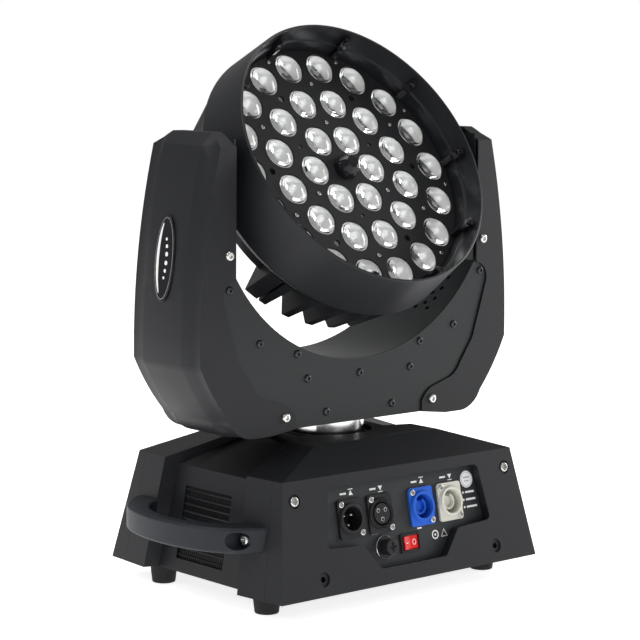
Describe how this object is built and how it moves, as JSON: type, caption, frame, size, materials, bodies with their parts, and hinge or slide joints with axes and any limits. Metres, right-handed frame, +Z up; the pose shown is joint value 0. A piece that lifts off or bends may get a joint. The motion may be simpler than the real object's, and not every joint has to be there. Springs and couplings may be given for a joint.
{
  "type": "moving head light",
  "caption": "Stage wash light: a round multi-lens LED head tilts in a yoke that pans on a box base with connector panel, display and side handles.",
  "frame": {"origin": "on the floor, at the centre of the rectangle that the four rubber feet stand on", "axes": "+Z up; +X along the connector panel, to the right when facing it; -Y is the connector side and +Y the display side"},
  "size_m": [0.35, 0.218, 0.4546],
  "materials": {
    "cover_plastic": "fine texture",
    "handle_plastic": "fine texture",
    "hood_plastic": "satin",
    "rubber": "matt",
    "yoke_steel": "satin",
    "skin_steel": "satin",
    "plate_steel": "satin",
    "panel_steel": "satin",
    "zinc": "bright zinc",
    "spindle": "polished",
    "inner_aluminium": "satin",
    "motor_steel": "satin",
    "bearing_steel": "ground",
    "shaft_steel": "ground",
    "belt": "matt",
    "lens": "clear",
    "gloss_black": "gloss",
    "black_plastic": "satin",
    "blue_plastic": "satin",
    "grey_plastic": "satin",
    "red_plastic": "gloss",
    "board": "satin",
    "supply": "satin",
    "grille": "satin"
  },
  "bodies": {
    "base": {"base_front_cover": "cover_plastic", "base_rear_cover": "cover_plastic", "base_centre_cover": "cover_plastic", "base_plate": "panel_steel", "rubber_feet": "rubber", "side_grilles": "grille", "left_handle": "handle_plastic", "right_handle": "handle_plastic", "base_screws": "zinc", "connector_panel": "panel_steel", "xlr_inlet": "black_plastic", "xlr_outlet": "black_plastic", "power_inlet": "blue_plastic", "power_outlet": "grey_plastic", "fuse_holder": "zinc", "switch_body": "black_plastic", "display_bezel": "gloss_black", "power_supply": "supply", "pan_motor": "motor_steel", "pan_belt": "belt", "pan_bearing": "bearing_steel", "fan_frame": "black_plastic"},
    "yoke": {"yoke_front_plate": "yoke_steel", "yoke_rear_plate": "yoke_steel", "yoke_inner_skin": "skin_steel", "yoke_floor": "yoke_steel", "left_arm_cover": "cover_plastic", "right_arm_cover": "cover_plastic", "arm_badges": "gloss_black", "yoke_screws": "zinc", "pan_spindle": "spindle", "pan_pulley": "inner_aluminium", "tilt_motor": "motor_steel", "tilt_belt": "belt", "tilt_bearings": "bearing_steel"},
    "head": {"head_hood": "hood_plastic", "head_rear_cover": "cover_plastic", "hood_clips": "gloss_black", "clip_screws": "zinc", "led_board": "board", "heat_sink": "inner_aluminium", "zoom_motors": "motor_steel", "tilt_shafts": "shaft_steel", "tilt_pulley": "inner_aluminium"},
    "lens_carrier": {"lens_plate": "plate_steel", "lenses": "lens", "centre_cap": "gloss_black", "lens_plate_screws": "zinc"},
    "zoom_screw_a": {"zoom_screw_1": "shaft_steel"},
    "zoom_screw_b": {"zoom_screw_2": "shaft_steel"},
    "zoom_screw_c": {"zoom_screw_3": "shaft_steel"},
    "fuse_plug": {"fuse_cap": "black_plastic"},
    "rocker": {"switch_rocker": "red_plastic"},
    "fan": {"fan_rotor": "black_plastic"},
    "pan_drive": {"pan_motor_pulley": "inner_aluminium"},
    "tilt_drive": {"tilt_motor_pulley": "inner_aluminium"},
    "button_back": {"menu_button_back": "rubber"},
    "button_up": {"menu_button_up": "rubber"},
    "button_down": {"menu_button_down": "rubber"},
    "button_enter": {"menu_button_enter": "rubber"}
  },
  "joints": [
    {"name": "pan", "type": "hinge", "parent": "base", "child": "yoke", "pos_m": [0, 0, 0.1115], "axis": [0, 0, 1], "range_deg": [-270, 270]},
    {"name": "tilt", "type": "hinge", "parent": "yoke", "child": "head", "pos_m": [0, 0, 0.3265], "axis": [1, 0, 0], "range_deg": [-193, 77]},
    {"name": "zoom", "type": "slide", "parent": "head", "child": "lens_carrier", "axis": [0, -0.848, 0.5299], "range_m": [-0.012, 0]},
    {"name": "pan_motor_turn", "type": "hinge", "parent": "base", "child": "pan_drive", "pos_m": [0.082, 0, 0.094], "axis": [0, 0, 1], "range_deg": [-1360, 1360]},
    {"name": "tilt_motor_turn", "type": "hinge", "parent": "yoke", "child": "tilt_drive", "pos_m": [-0.141, 0, 0.185], "axis": [1, 0, 0], "range_deg": [-650, 260]},
    {"name": "fan_spin", "type": "hinge", "parent": "base", "child": "fan", "pos_m": [-0.107, 0, 0.057], "axis": [1, 0, 0], "continuous": true},
    {"name": "fuse_cap_turn", "type": "hinge", "parent": "base", "child": "fuse_plug", "pos_m": [-0.022, -0.10143, 0.04415], "axis": [0, -0.9806, 0.1961], "range_deg": [0, 90]},
    {"name": "power_switch", "type": "hinge", "parent": "base", "child": "rocker", "pos_m": [0.006, -0.09555, 0.04298], "axis": [0, 0.1961, 0.9806], "range_deg": [-18, 0]},
    {"name": "zoom_screw_a_turn", "type": "hinge", "parent": "head", "child": "zoom_screw_a", "pos_m": [0.038, 0.03488, 0.38232], "axis": [0, -0.848, 0.5299], "range_deg": [-5, 1085]},
    {"name": "zoom_screw_b_turn", "type": "hinge", "parent": "head", "child": "zoom_screw_b", "pos_m": [-0.076, 0, 0.3265], "axis": [0, -0.848, 0.5299], "range_deg": [-5, 1085]},
    {"name": "zoom_screw_c_turn", "type": "hinge", "parent": "head", "child": "zoom_screw_c", "pos_m": [0.038, -0.03488, 0.27068], "axis": [0, -0.848, 0.5299], "range_deg": [-5, 1085]},
    {"name": "press_back", "type": "slide", "parent": "base", "child": "button_back", "axis": [0, 0.9806, 0.1961], "range_m": [-0.0015, 0], "stiffness_N_per_m": 200, "springref_m": 0.001},
    {"name": "press_up", "type": "slide", "parent": "base", "child": "button_up", "axis": [0, 0.9806, 0.1961], "range_m": [-0.0015, 0], "stiffness_N_per_m": 200, "springref_m": 0.001},
    {"name": "press_down", "type": "slide", "parent": "base", "child": "button_down", "axis": [0, 0.9806, 0.1961], "range_m": [-0.0015, 0], "stiffness_N_per_m": 200, "springref_m": 0.001},
    {"name": "press_enter", "type": "slide", "parent": "base", "child": "button_enter", "axis": [0, 0.9806, 0.1961], "range_m": [-0.0015, 0], "stiffness_N_per_m": 200, "springref_m": 0.001}
  ],
  "couplings": [
    {"joint": "pan_motor_turn", "follows": "pan", "ratio": 5},
    {"joint": "tilt_motor_turn", "follows": "tilt", "ratio": 3.3333},
    {"joint": "zoom_screw_a_turn", "follows": "zoom", "rad_per_m": -1570.8},
    {"joint": "zoom_screw_b_turn", "follows": "zoom", "rad_per_m": -1570.8},
    {"joint": "zoom_screw_c_turn", "follows": "zoom", "rad_per_m": -1570.8}
  ]
}
